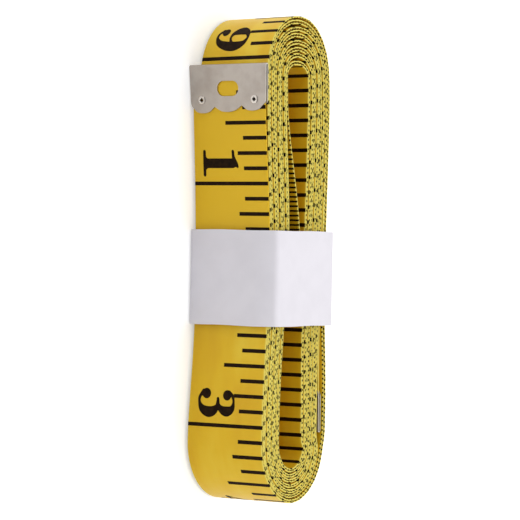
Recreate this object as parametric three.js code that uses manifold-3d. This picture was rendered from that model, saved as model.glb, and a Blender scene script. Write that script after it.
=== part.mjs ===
// Cloth tape measure, doubled, wound flat and held by a paper band.
// Millimetres, +Z up. X runs along the coil, -Y is the printed front, and the tape stands on its edge.
// The origin is on the band's underside, below the middle of the coil.
import * as THREE from "three";
import { mergeVertices } from "three/addons/utils/BufferGeometryUtils.js";
import Module from "manifold-3d";

// Tape
const TAPE_WIDTH = 19;
const TAPE_THICKNESS = 0.08;
const FRONT_PITCH = 0.51;
const REAR_PITCH = 0.56;

// Winding: the tape is folded in two, and both halves are wound from the hairpin outwards
const LAPS = 8;
const SINGLE_LAPS = 1.5;
const STRAIGHT_HALF_LENGTH = 38.4;
const HAIRPIN_X = 11.5;
const HAIRPIN_RADIUS = 1.95;
const HAIRPIN_ROOM = 1.4;
const HAIRPIN_LEG_LENGTH = 40;
const WAIST_PINCH = 0.75;
const WAIST_HALF_LENGTH = 30;
const UPPER_EYE_REACH = 3.5;
const UPPER_END_PITCH = 0.69;
const UPPER_END_FULLNESS = 2.25;
const LOWER_EYE_REACH = 4.9;
const LOWER_END_PITCH = 0.56;
const LOWER_END_FULLNESS = 2;

// Metal clip folded over each end of the tape
const CLIP_LENGTH = 10;
const CLIP_OVERHANG = 0.15;
const CLIP_SHEET = 0.25;
const CLIP_TAPE_CLEARANCE = 0.15;
const CLIP_TUCK = 0.3;
const CLIP_NEIGHBOUR_CLEARANCE = 0.2;
const LOBE_DEPTH = 0.9;
const MIDDLE_LOBE_WIDTH = 7.1;
const CORNER_LOBE_WIDTH = 3.3;
const CORNER_LOBE_HEIGHT = 2.5;
const WINDOW_LENGTH = 5.6;
const WINDOW_HEIGHT = 3.2;
const WINDOW_FROM_FOLD = 5.1;
const OUTER_CLIP_PAST_STRAIGHT = 2;
const INNER_CLIP_FROM_BEND = 2.4;
const CLIP_SHIFT_LENGTH = 18;
const CLIP_SHIFT_INWARD = 0.5;

// Eyelets through clip and tape
const EYELET_BORE_RADIUS = 0.35;
const EYELET_WALL = 0.2;
const EYELET_FLANGE_WIDTH = 0.37;
const EYELET_FLANGE = 0.15;
const EYELET_SEAT_GAP = 0.05;
const EYELET_HOLE_CLEARANCE = 0.1;
const EYELET_FROM_FOLD = 7.45;
const EYELET_FROM_EDGE = 2.75;

// Paper band round the middle
const BAND_X = 3.7;
const BAND_LENGTH = 20;
const PAPER = 0.25;
const BAND_SEAT_GAP = 0.3;
const BAND_TOP_SLACK = 0.95;
const BAND_SIDE_CLEARANCE = 0.17;
const BAND_LOWER_RADIUS = 0.6;
const BAND_UPPER_RADIUS = 1.4;
const BAND_OVERLAP = 9;
const BAND_OVERLAP_SLOPE = 2;

// Free end of the tape, which lifts off the coil beside the band
const HINGE_FROM_BAND = 1;
const HINGE_GAP = 0.4;
const FREE_END_LIFT = 0.5;

// Steps of curves, and the share of one lap that each straight takes
const STRAIGHT_STEPS = 9;
const END_STEPS = 10;
const HAIRPIN_STEPS = 8;
const FREE_END_STEPS = 8;
const CURVE_STEPS = 8;
const ROUND_STEPS = 24;
const HALF_TURN = 0.5;
const STRAIGHT_SHARE = 0.33;
const SHORTEST_STEP = 0.002;
const NEAR_ALONG_PATH = 5;
const CUT_MARGIN = 1;

// Sizes that follow from the driving dimensions
const endShare = HALF_TURN - STRAIGHT_SHARE;
const straightTurn = STRAIGHT_SHARE / (2 * STRAIGHT_HALF_LENGTH);
const tapeLow = PAPER + BAND_SEAT_GAP;
const tapeHigh = tapeLow + TAPE_WIDTH;
const hingeX = BAND_X - BAND_LENGTH / 2 - HINGE_FROM_BAND;
const clipWidth = TAPE_WIDTH + 2 * CLIP_OVERHANG;
const clipCavity = TAPE_THICKNESS / 2 + CLIP_TAPE_CLEARANCE;
const clipHalfThickness = clipCavity + CLIP_SHEET;
const clipFoldX = -CLIP_TUCK - CLIP_SHEET;
const clipEndX = clipFoldX + CLIP_LENGTH;
const eyeletHalfHeight = clipHalfThickness + EYELET_SEAT_GAP + EYELET_FLANGE;
const eyeletRadius = EYELET_BORE_RADIUS + EYELET_WALL;
const eyeletX = clipFoldX + EYELET_FROM_FOLD;
const eyeletZ = clipWidth / 2 - EYELET_FROM_EDGE;
const clipHalfRoom = eyeletHalfHeight + CLIP_NEIGHBOUR_CLEARANCE + TAPE_THICKNESS / 2;
const clipSwell = 2 * Math.max(0, clipHalfRoom - REAR_PITCH);
const freeEndRise = FREE_END_LIFT + Math.max(0, clipHalfRoom - FRONT_PITCH);
const outerClipTapeEndX = -STRAIGHT_HALF_LENGTH - OUTER_CLIP_PAST_STRAIGHT;
const innerClipTapeEndX = STRAIGHT_HALF_LENGTH - INNER_CLIP_FROM_BEND;
const innerEndTurn = rearTurn(1, innerClipTapeEndX);
const innerClipTurn = rearTurn(1, innerClipTapeEndX - clipEndX);
const hairpinTurn = frontTurn(LAPS, HAIRPIN_X);
const fullLayers = outerLayers(hairpinTurn);
const stackThickness = (fullLayers * (FRONT_PITCH + REAR_PITCH)) / 2;
const coilHalfThickness = stackThickness + HAIRPIN_RADIUS + HAIRPIN_ROOM / 2 + WAIST_PINCH;

const wasm = await Module();
wasm.setup();

// Turn count at a place on the coil's front, on a given lap
function frontTurn(lap, x) {
  return lap + straightTurn * (x + STRAIGHT_HALF_LENGTH);
}

// Turn count at a place on the coil's rear, on a given lap
function rearTurn(lap, x) {
  return lap + HALF_TURN + straightTurn * (STRAIGHT_HALF_LENGTH - x);
}

// Layers above the outer half: one a lap where it lies alone, two where the inner half lies beside it
function outerLayers(turn) {
  return turn + Math.max(0, turn - SINGLE_LAPS);
}

// Half the coil's thickness at a place along it, drawn in where the band sits
function halfThickness(x) {
  const share = Math.min(1, Math.abs(x - BAND_X) / WAIST_HALF_LENGTH);
  return coilHalfThickness - WAIST_PINCH * Math.cos((share * Math.PI) / 2) ** 2;
}

// Extra depth of a layer where the winding parts to take in the inner clip
function clipShift(turn, layers) {
  const middle = (innerEndTurn + innerClipTurn) / 2;
  const away = Math.abs(turn - middle - Math.round(turn - middle));
  const flat = (innerClipTurn - innerEndTurn) / 2;
  const fade = THREE.MathUtils.clamp((away - flat) / (straightTurn * CLIP_SHIFT_LENGTH), 0, 1);
  const layer = THREE.MathUtils.clamp(layers - outerLayers(innerEndTurn) - 1, -1, 1);
  const share = layer > 0 ? CLIP_SHIFT_INWARD : 1 - CLIP_SHIFT_INWARD;
  return clipSwell * share * layer * Math.cos((fade * Math.PI) / 2) ** 2;
}

// Power of a number that keeps its sign
function signedPower(base, exponent) {
  return Math.sign(base) * Math.abs(base) ** exponent;
}

// Point of the winding at a turn count, under some layers and a further depth
function windingPoint(turn, layers, further) {
  const depth = further + clipShift(turn, layers);
  const frontY = (x) => FRONT_PITCH * layers + depth - halfThickness(x);
  const rearY = (x) => halfThickness(x) - REAR_PITCH * layers - depth;
  const share = turn - Math.floor(turn);
  const half = share % HALF_TURN;
  const side = share < HALF_TURN ? 1 : -1;
  if (half <= STRAIGHT_SHARE) {
    const x = side * (half / straightTurn - STRAIGHT_HALF_LENGTH);
    return new THREE.Vector2(x, side > 0 ? frontY(x) : rearY(x));
  }
  return endPoint(side, (Math.PI * (half - STRAIGHT_SHARE)) / endShare, layers, depth, frontY, rearY);
}

// Point on the rounded end of a turn: half of an ellipse, or of a fuller curve of that kind
function endPoint(side, angle, layers, depth, frontY, rearY) {
  const end = side * STRAIGHT_HALF_LENGTH;
  const eyeReach = side > 0 ? LOWER_EYE_REACH : UPPER_EYE_REACH;
  const pitch = side > 0 ? LOWER_END_PITCH : UPPER_END_PITCH;
  const power = 2 / (side > 0 ? LOWER_END_FULLNESS : UPPER_END_FULLNESS);
  const reach = eyeReach + pitch * (fullLayers - layers) - depth;
  const middle = (frontY(end) + rearY(end)) / 2;
  const rise = (rearY(end) - frontY(end)) / 2;
  const x = end + side * reach * signedPower(Math.sin(angle), power);
  return new THREE.Vector2(x, middle - side * rise * signedPower(Math.cos(angle), power));
}

const outerPoint = (turn) => windingPoint(turn, outerLayers(turn), 0);

// Point of the inner half, which lies one layer deeper and swings out to the hairpin over its last leg
function innerPoint(turn) {
  const legStart = hairpinTurn - straightTurn * HAIRPIN_LEG_LENGTH;
  const swing = THREE.MathUtils.smoothstep(turn, legStart, hairpinTurn);
  return windingPoint(turn, outerLayers(turn) + 1, swing * (2 * HAIRPIN_RADIUS - FRONT_PITCH));
}

// Turn counts from one to another, at the same places on every lap
function turnStops(from, to) {
  const stops = [from];
  const add = (turn) => {
    if (turn > from + SHORTEST_STEP && turn < to - SHORTEST_STEP) stops.push(turn);
  };
  for (let half = Math.floor(from / HALF_TURN) * HALF_TURN; half < to; half += HALF_TURN) {
    for (let i = 0; i < STRAIGHT_STEPS; i++) add(half + (STRAIGHT_SHARE * i) / STRAIGHT_STEPS);
    for (let i = 0; i < END_STEPS; i++) add(half + STRAIGHT_SHARE + (endShare * i) / END_STEPS);
  }
  stops.push(to);
  return stops;
}

// Half turn that joins the two halves of the tape in the eye of the coil
function hairpinPoints() {
  const middle = outerPoint(hairpinTurn);
  middle.y += HAIRPIN_RADIUS;
  const points = [];
  for (let i = 1; i < HAIRPIN_STEPS; i++) {
    const angle = Math.PI * (i / HAIRPIN_STEPS - 0.5);
    const out = new THREE.Vector2(Math.cos(angle), Math.sin(angle));
    points.push(out.multiplyScalar(HAIRPIN_RADIUS).add(middle));
  }
  return points;
}

// Centre line of the wound tape, from beside the band to the clip on its inner end
function coilPath() {
  const start = frontTurn(0, hingeX + HINGE_GAP / 2);
  const inward = turnStops(start, hairpinTurn).map(outerPoint);
  const outward = turnStops(innerClipTurn, hairpinTurn).reverse().map(innerPoint);
  return [...inward, ...hairpinPoints(), ...outward, innerPoint(innerEndTurn)];
}

// Centre line of the free end: it rises evenly off the coil and runs straight inside its clip
function freeEndPath() {
  const clipX = outerClipTapeEndX + clipEndX;
  const span = hingeX - clipX;
  const points = [];
  for (let i = 0; i <= FREE_END_STEPS; i++) {
    const x = hingeX - HINGE_GAP / 2 - ((span - HINGE_GAP / 2) * i) / FREE_END_STEPS;
    const point = outerPoint(frontTurn(0, x));
    point.y -= freeEndRise * ((hingeX - x) / span) ** 2;
    points.push(point);
  }
  const slope = (2 * freeEndRise) / span;
  const straight = new THREE.Vector2(-1, -slope).setLength(clipEndX);
  points.push(points.at(-1).clone().add(straight));
  return points;
}

// Flat ribbon standing on edge along a path
function ribbonGeometry(path) {
  const positions = [];
  const indices = [];
  path.forEach((point, i) => {
    const before = path[Math.max(0, i - 1)];
    const after = path[Math.min(path.length - 1, i + 1)];
    const along = after.clone().sub(before);
    const across = new THREE.Vector2(-along.y, along.x).setLength(TAPE_THICKNESS / 2);
    const right = point.clone().sub(across);
    const left = point.clone().add(across);
    positions.push(right.x, right.y, tapeLow, left.x, left.y, tapeLow);
    positions.push(left.x, left.y, tapeHigh, right.x, right.y, tapeHigh);
  });
  for (let ring = 0; ring < 4 * (path.length - 1); ring += 4) {
    for (let corner = 0; corner < 4; corner++) {
      const here = ring + corner;
      const next = ring + ((corner + 1) % 4);
      indices.push(here, next, next + 4, here, next + 4, here + 4);
    }
  }
  const last = 4 * (path.length - 1);
  indices.push(0, 2, 1, 0, 3, 2, last, last + 1, last + 2, last, last + 2, last + 3);
  const geometry = new THREE.BufferGeometry();
  geometry.setAttribute("position", new THREE.Float32BufferAttribute(positions, 3));
  geometry.setIndex(indices);
  return geometry;
}

// Distance from a point to a segment
function segmentDistance(point, start, end) {
  const along = end.clone().sub(start);
  const share = point.clone().sub(start).dot(along) / along.lengthSq();
  return along.multiplyScalar(THREE.MathUtils.clamp(share, 0, 1)).add(start).distanceTo(point);
}

// Least air gap between turns of a path, and the path's length
function measurePath(path) {
  const distances = [0];
  for (let i = 1; i < path.length; i++) {
    distances.push(distances[i - 1] + path[i].distanceTo(path[i - 1]));
  }
  let least = Infinity;
  path.forEach((point, i) => {
    for (let j = 1; j < path.length; j++) {
      const before = Math.abs(distances[j - 1] - distances[i]);
      const after = Math.abs(distances[j] - distances[i]);
      if (Math.min(before, after) <= NEAR_ALONG_PATH) continue;
      least = Math.min(least, segmentDistance(point, path[j - 1], path[j]));
    }
  });
  return { gap: least - TAPE_THICKNESS, length: distances.at(-1) };
}

// Closed geometry as a solid for cutting
function solidOf(geometry) {
  const bare = geometry.clone();
  bare.deleteAttribute("normal");
  bare.deleteAttribute("uv");
  const merged = mergeVertices(bare);
  const mesh = new wasm.Mesh({
    numProp: 3,
    vertProperties: merged.attributes.position.array,
    triVerts: new Uint32Array(merged.index.array),
  });
  return new wasm.Manifold(mesh);
}

// Geometry with the tools' shapes cut out of it
function cutGeometry(geometry, tools) {
  const body = tools.reduce((rest, tool) => rest.subtract(solidOf(tool)), solidOf(geometry));
  const mesh = body.getMesh();
  const made = new THREE.BufferGeometry();
  made.setAttribute("position", new THREE.BufferAttribute(mesh.vertProperties, 3));
  made.setIndex(new THREE.BufferAttribute(mesh.triVerts, 1));
  made.computeVertexNormals();
  return made;
}

// Outline drawn in Z and X, extruded along Y between two levels
function plateGeometry(shape, low, high) {
  const options = { depth: high - low, bevelEnabled: false, curveSegments: CURVE_STEPS };
  const turn = new THREE.Matrix4().makeBasis(
    new THREE.Vector3(0, 0, 1),
    new THREE.Vector3(1, 0, 0),
    new THREE.Vector3(0, 1, 0),
  );
  return new THREE.ExtrudeGeometry(shape, options).applyMatrix4(turn).translate(0, low, 0);
}

// Holes for the two eyelets, through clip and tape
function eyeletHoles() {
  const radius = eyeletRadius + EYELET_HOLE_CLEARANCE;
  const height = 2 * (clipHalfThickness + CUT_MARGIN);
  return [-eyeletZ, eyeletZ].map((z) =>
    new THREE.CylinderGeometry(radius, radius, height, ROUND_STEPS).translate(eyeletX, 0, z),
  );
}

// Cutter that leaves three rounded lobes on the clip's open edge
function lobeCutter() {
  const half = clipWidth / 2;
  const corner = half - CORNER_LOBE_WIDTH;
  const notch = MIDDLE_LOBE_WIDTH / 2;
  const shape = new THREE.Shape();
  shape.moveTo(-half - CUT_MARGIN, clipEndX - CORNER_LOBE_HEIGHT);
  shape.lineTo(-half, clipEndX - CORNER_LOBE_HEIGHT);
  shape.quadraticCurveTo(-half, clipEndX, -corner, clipEndX);
  shape.quadraticCurveTo(-(corner + notch) / 2, clipEndX, -notch, clipEndX - LOBE_DEPTH);
  shape.quadraticCurveTo(0, clipEndX + LOBE_DEPTH, notch, clipEndX - LOBE_DEPTH);
  shape.quadraticCurveTo((corner + notch) / 2, clipEndX, corner, clipEndX);
  shape.quadraticCurveTo(half, clipEndX, half, clipEndX - CORNER_LOBE_HEIGHT);
  shape.lineTo(half + CUT_MARGIN, clipEndX - CORNER_LOBE_HEIGHT);
  shape.lineTo(half + CUT_MARGIN, clipEndX + CUT_MARGIN);
  shape.lineTo(-half - CUT_MARGIN, clipEndX + CUT_MARGIN);
  return plateGeometry(shape, -clipHalfThickness - CUT_MARGIN, clipHalfThickness + CUT_MARGIN);
}

// Cutter for the round-ended window, through the front leaf alone
function windowCutter() {
  const x = clipFoldX + WINDOW_FROM_FOLD;
  const radius = WINDOW_HEIGHT / 2;
  const reach = WINDOW_LENGTH / 2 - radius;
  const shape = new THREE.Shape();
  shape.absarc(reach, x, radius, -Math.PI / 2, Math.PI / 2);
  shape.absarc(-reach, x, radius, Math.PI / 2, (3 * Math.PI) / 2);
  return plateGeometry(shape, -clipHalfThickness - CUT_MARGIN, 0);
}

// Sheet folded round the tape's end, with lobes, a window and holes for its eyelets
function clipGeometry() {
  const bendX = clipCavity - CLIP_TUCK;
  const shape = new THREE.Shape();
  shape.moveTo(clipEndX, clipHalfThickness);
  shape.lineTo(bendX, clipHalfThickness);
  shape.absarc(bendX, 0, clipHalfThickness, Math.PI / 2, (3 * Math.PI) / 2);
  shape.lineTo(clipEndX, -clipHalfThickness);
  shape.lineTo(clipEndX, -clipCavity);
  shape.lineTo(bendX, -clipCavity);
  shape.absarc(bendX, 0, clipCavity, (3 * Math.PI) / 2, Math.PI / 2, true);
  shape.lineTo(clipEndX, clipCavity);
  const options = { depth: clipWidth, bevelEnabled: false, curveSegments: CURVE_STEPS };
  const folded = new THREE.ExtrudeGeometry(shape, options).translate(0, 0, -clipWidth / 2);
  return cutGeometry(folded, [lobeCutter(), windowCutter(), ...eyeletHoles()]);
}

// Tubular eyelet with a flange on each side of the clip
function eyeletGeometry() {
  const flange = eyeletRadius + EYELET_FLANGE_WIDTH;
  const inside = eyeletHalfHeight - EYELET_FLANGE;
  const profile = [
    [EYELET_BORE_RADIUS, -eyeletHalfHeight],
    [flange, -eyeletHalfHeight],
    [flange, -inside],
    [eyeletRadius, -inside],
    [eyeletRadius, inside],
    [flange, inside],
    [flange, eyeletHalfHeight],
    [EYELET_BORE_RADIUS, eyeletHalfHeight],
    [EYELET_BORE_RADIUS, -eyeletHalfHeight],
  ];
  const points = profile.map(([radius, height]) => new THREE.Vector2(radius, height));
  return new THREE.LatheGeometry(points, ROUND_STEPS);
}

// Rectangle in Y and Z with rounded corners, drawn anticlockwise; the rear side may carry extra points
function roundedOutline(outline, halfWidth, low, high, lowerRadius, upperRadius, rearPoints = []) {
  outline.absarc(halfWidth - lowerRadius, low + lowerRadius, lowerRadius, -Math.PI / 2, 0);
  rearPoints.forEach(([y, z]) => outline.lineTo(y, z));
  outline.absarc(halfWidth - upperRadius, high - upperRadius, upperRadius, 0, Math.PI / 2);
  outline.absarc(-halfWidth + upperRadius, high - upperRadius, upperRadius, Math.PI / 2, Math.PI);
  outline.absarc(-halfWidth + lowerRadius, low + lowerRadius, lowerRadius, Math.PI, (3 * Math.PI) / 2);
  return outline;
}

// Strip of paper wrapped round the coil, its end glued over its start on the rear
function bandGeometry(coilReach) {
  const inner = coilReach + TAPE_THICKNESS / 2 + BAND_SIDE_CLEARANCE;
  const outer = inner + PAPER;
  const insideHigh = tapeHigh + BAND_TOP_SLACK;
  const high = insideHigh + PAPER;
  const overlapLow = (high - BAND_OVERLAP) / 2;
  const overlapHigh = overlapLow + BAND_OVERLAP;
  const overlap = [
    [outer, overlapLow],
    [outer + PAPER, overlapLow],
    [outer + PAPER, overlapHigh - BAND_OVERLAP_SLOPE],
    [outer, overlapHigh],
  ];
  const shape = new THREE.Shape();
  roundedOutline(shape, outer, 0, high, BAND_LOWER_RADIUS + PAPER, BAND_UPPER_RADIUS + PAPER, overlap);
  const hole = new THREE.Path();
  shape.holes.push(roundedOutline(hole, inner, PAPER, insideHigh, BAND_LOWER_RADIUS, BAND_UPPER_RADIUS));
  const options = { depth: BAND_LENGTH, bevelEnabled: false, curveSegments: CURVE_STEPS };
  const turn = new THREE.Matrix4().makeBasis(
    new THREE.Vector3(0, 1, 0),
    new THREE.Vector3(0, 0, 1),
    new THREE.Vector3(1, 0, 0),
  );
  return new THREE.ExtrudeGeometry(shape, options).applyMatrix4(turn);
}

const tapeMaterial = new THREE.MeshStandardMaterial({ color: 0xd2ab33, roughness: 0.45 });
const metalMaterial = new THREE.MeshStandardMaterial({ color: 0xa59c95, roughness: 0.4, metalness: 0.9 });
const eyeletMaterial = new THREE.MeshStandardMaterial({ color: 0xb4aca2, roughness: 0.3, metalness: 0.9 });
const paperMaterial = new THREE.MeshStandardMaterial({ color: 0xf0eef2, roughness: 0.85 });

// Named mesh of a geometry and a material
function named(name, geometry, material) {
  const mesh = new THREE.Mesh(geometry, material);
  mesh.name = name;
  return mesh;
}

// Clip and its eyelets, set on the tape's end and in line with its last straight
function clipGroup(name, path) {
  const end = path.at(-1);
  const along = path.at(-2).clone().sub(end);
  const group = new THREE.Group();
  group.position.set(end.x, end.y, (tapeLow + tapeHigh) / 2);
  group.rotation.z = along.angle();
  group.add(named(name, clipGeometry(), metalMaterial));
  [
    ["lower", -eyeletZ],
    ["upper", eyeletZ],
  ].forEach(([place, z]) => {
    const eyelet = named(`${name}_eyelet_${place}`, eyeletGeometry(), eyeletMaterial);
    eyelet.position.set(eyeletX, 0, z);
    group.add(eyelet);
  });
  group.updateMatrixWorld(true);
  return group;
}

// Tape along a path, with holes for the eyelets of the clip on its end
function tapeGeometry(path, clip) {
  const holes = eyeletHoles().map((hole) => hole.applyMatrix4(clip.matrixWorld));
  return cutGeometry(ribbonGeometry(path), holes);
}

const woundPath = coilPath();
const freePath = freeEndPath();
const coilReach = Math.max(...woundPath.map((point) => Math.abs(point.y)));
const measures = measurePath(woundPath);
const freeLength = measurePath(freePath).length;
console.log(`least gap between turns of the tape: ${measures.gap.toFixed(3)} mm`);
console.log(`length of the tape: ${(measures.length + freeLength + HINGE_GAP).toFixed(0)} mm`);

const outerClip = clipGroup("outer_clip", freePath);
const innerClip = clipGroup("inner_clip", woundPath);
const band = named("paper_band", bandGeometry(coilReach), paperMaterial);
band.position.x = BAND_X - BAND_LENGTH / 2;

const tapeMeasure = new THREE.Group();
tapeMeasure.add(named("tape_coil", tapeGeometry(woundPath, innerClip), tapeMaterial));
tapeMeasure.add(named("tape_free_end", tapeGeometry(freePath, outerClip), tapeMaterial));
tapeMeasure.add(outerClip, innerClip, band);

export default tapeMeasure;
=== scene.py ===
"""Looks of a cloth tape measure: printed tape, end clips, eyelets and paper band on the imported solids.

Sizes are in millimetres up to the moment when a mesh is made, which is in metres.
"""

import logging
import math
from dataclasses import dataclass, field
from enum import Enum
from typing import Any

import bmesh
import bpy
import numpy as np
from mathutils import Matrix, Vector


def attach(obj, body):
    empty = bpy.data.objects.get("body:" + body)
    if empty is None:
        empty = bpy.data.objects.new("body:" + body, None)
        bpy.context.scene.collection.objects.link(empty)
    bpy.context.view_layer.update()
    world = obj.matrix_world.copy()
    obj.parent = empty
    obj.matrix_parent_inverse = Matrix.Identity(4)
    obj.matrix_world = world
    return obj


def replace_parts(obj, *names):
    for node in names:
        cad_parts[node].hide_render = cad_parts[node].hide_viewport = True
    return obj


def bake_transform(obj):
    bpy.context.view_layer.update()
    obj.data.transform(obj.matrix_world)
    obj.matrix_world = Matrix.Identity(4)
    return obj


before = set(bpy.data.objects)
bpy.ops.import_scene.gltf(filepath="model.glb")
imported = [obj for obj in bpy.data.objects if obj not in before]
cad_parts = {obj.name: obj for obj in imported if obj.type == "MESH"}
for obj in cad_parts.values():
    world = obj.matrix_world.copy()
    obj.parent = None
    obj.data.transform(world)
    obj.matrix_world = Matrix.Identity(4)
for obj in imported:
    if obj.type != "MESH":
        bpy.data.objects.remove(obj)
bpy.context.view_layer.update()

MM = 0.001
INCH = 25.4
IMAGE_PIXELS = 520
SHADER = "Principled BSDF"
PLACE = "cloth_place"
EYELETS = ("lower", "upper")
LOG = logging.getLogger("tape_measure")

Spans = list[tuple[float, float]]
Stroke = list[tuple[float, float, float]]


class Body(str, Enum):
    """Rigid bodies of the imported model."""

    COIL = "coil"
    TAPE_END = "tape_end"
    BAND = "band"


class Slot(str, Enum):
    """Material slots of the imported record."""

    CLOTH = "coated_cloth"
    STEEL = "plated_steel"
    EYELET = "eyelet_metal"
    PAPER = "white_paper"


class Face(float, Enum):
    """Sides of the tape: +1 carries the inch scale, -1 the centimetre scale."""

    INCHES = 1.0
    CENTIMETRES = -1.0


def linear(hex_colour: str) -> tuple[float, float, float, float]:
    """Linear RGBA of an sRGB hex value.

    Args:
        hex_colour: Six hex digits, red first.

    Returns:
        Linear red, green and blue, and an alpha of 1.
    """
    c = np.array([int(hex_colour[i : i + 2], 16) for i in (0, 2, 4)]) / 255
    rgb = np.where(c <= 0.04045, c / 12.92, ((c + 0.055) / 1.055) ** 2.4)
    return (*map(float, rgb), 1.0)


def per_metre(size_mm: float) -> float:
    """Scale of a pattern of some size on Object coordinates, which are in metres."""
    return 1 / (size_mm * MM)


def add_node(
    tree: bpy.types.NodeTree,
    kind: str,
    inputs: dict[Any, Any] | None = None,
    feeds: dict[str, bpy.types.NodeSocket] | None = None,
    stops: list[tuple[float, str]] | None = None,
    **settings: Any,
) -> Any:
    """Adds a node with its settings and links.

    Args:
        tree: Node tree of a material.
        kind: Node type without its ShaderNode prefix.
        inputs: Input name or index to a value, or to the socket that feeds it.
        feeds: Output name to the socket that it feeds.
        stops: Places and colours of a colour ramp, from its low end.
        settings: Attributes of the node.

    Returns:
        The new node's outputs.
    """
    made = tree.nodes.new("ShaderNode" + kind)
    for name, value in settings.items():
        setattr(made, name, value)
    for name, value in (inputs or {}).items():
        if isinstance(value, bpy.types.NodeSocket):
            tree.links.new(value, made.inputs[name])
        else:
            made.inputs[name].default_value = value
    if stops:
        elements = made.color_ramp.elements
        elements.remove(elements[1])
        elements[0].position = stops[0][0]
        for place, _ in stops[1:]:
            elements.new(place)
        for element, (_, colour) in zip(elements, stops):
            element.color = linear(colour)
    for name, socket in (feeds or {}).items():
        tree.links.new(made.outputs[name], socket)
    return made.outputs


def new_material(name: str, **values: Any) -> tuple[bpy.types.Material, bpy.types.NodeTree, Any]:
    """Starts a material.

    Args:
        name: Common name of the real material.
        values: Shader inputs that are the same all over, with underscores for spaces.

    Returns:
        The material, its node tree and its shader's inputs.
    """
    material = bpy.data.materials.new(name)
    material.use_nodes = True
    tree = material.node_tree
    sockets = tree.nodes[SHADER].inputs
    for key, value in values.items():
        sockets[key.replace("_", " ")].default_value = value
    return material, tree, sockets


@dataclass(frozen=True)
class CoatedCloth:
    """Glass cloth coated with soft vinyl on a calender.

    It shows a satin skin over a faint weave, soft patches in its yellow, and bare cloth at its cut edges.
    """

    name: str = "vinyl_coated_glass_cloth"
    deep: str = "DFAD14"
    middle: str = "E8BC1C"
    pale: str = "EECB35"
    cut_edge: str = "E8D863"
    thread_mm: float = 0.62
    patch_mm: float = 9.0
    roughness: tuple[float, float] = (0.47, 0.38)

    def make(self) -> bpy.types.Material:
        """Material that reads the tape's own place attribute: along, across and how near the cut edge."""
        material, tree, sockets = new_material(self.name, IOR=1.5, Specular_IOR_Level=0.28)
        place = add_node(tree, "Attribute", attribute_name=PLACE)["Vector"]
        near_edge = add_node(tree, "SeparateXYZ", {0: place})["Z"]
        drawn_out = add_node(tree, "Mapping", {"Vector": place, "Scale": (0.35, 1.0, 0.0)})[0]
        patches = add_node(tree, "TexNoise", {"Vector": drawn_out, "Scale": 1 / self.patch_mm, "Detail": 3.0})
        tones = [(0.3, self.deep), (0.5, self.middle), (0.72, self.pale)]
        tone = add_node(tree, "ValToRGB", {"Fac": patches["Fac"]}, stops=tones)["Color"]
        mixed = {0: near_edge, "A": tone, "B": linear(self.cut_edge)}
        add_node(tree, "Mix", mixed, {"Result": sockets["Base Color"]}, data_type="RGBA")
        # A wave of scale 1 repeats every pi/10, so this gives one crest to a thread. The threads are drawn
        # coarser than real ones, so that they show.
        wave = {"Vector": place, "Scale": math.pi / (10 * self.thread_mm)}
        warp, weft = (add_node(tree, "TexWave", wave, bands_direction=way)["Fac"] for way in "XY")
        weave = add_node(tree, "Math", {0: warp, 1: weft}, operation="MULTIPLY")[0]
        dull, shiny = self.roughness
        shine = {"Value": weave, "To Min": dull, "To Max": shiny}
        add_node(tree, "MapRange", shine, {"Result": sockets["Roughness"]})
        bump = {"Height": weave, "Strength": 0.16, "Distance": 0.04 * MM}
        add_node(tree, "Bump", bump, {"Normal": sockets["Normal"]})
        return material


@dataclass(frozen=True)
class ScaleInk:
    """Brown-black vinyl ink, rolled on: nearly opaque, a little uneven in tone."""

    name: str = "scale_ink"
    dark: str = "1A0D03"
    thin: str = "2C1B08"
    patch_mm: float = 1.1

    def make(self) -> bpy.types.Material:
        """Material with faint patches of thinner ink."""
        material, tree, sockets = new_material(self.name, IOR=1.5, Roughness=0.6, Specular_IOR_Level=0.06)
        spot = add_node(tree, "TexCoord")["Object"]
        noise = {"Vector": spot, "Scale": per_metre(self.patch_mm), "Detail": 4.0}
        patches = add_node(tree, "TexNoise", noise)
        tones = [(0.42, self.dark), (0.75, self.thin)]
        add_node(tree, "ValToRGB", {"Fac": patches["Fac"]}, {"Color": sockets["Base Color"]}, tones)
        return material


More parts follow.
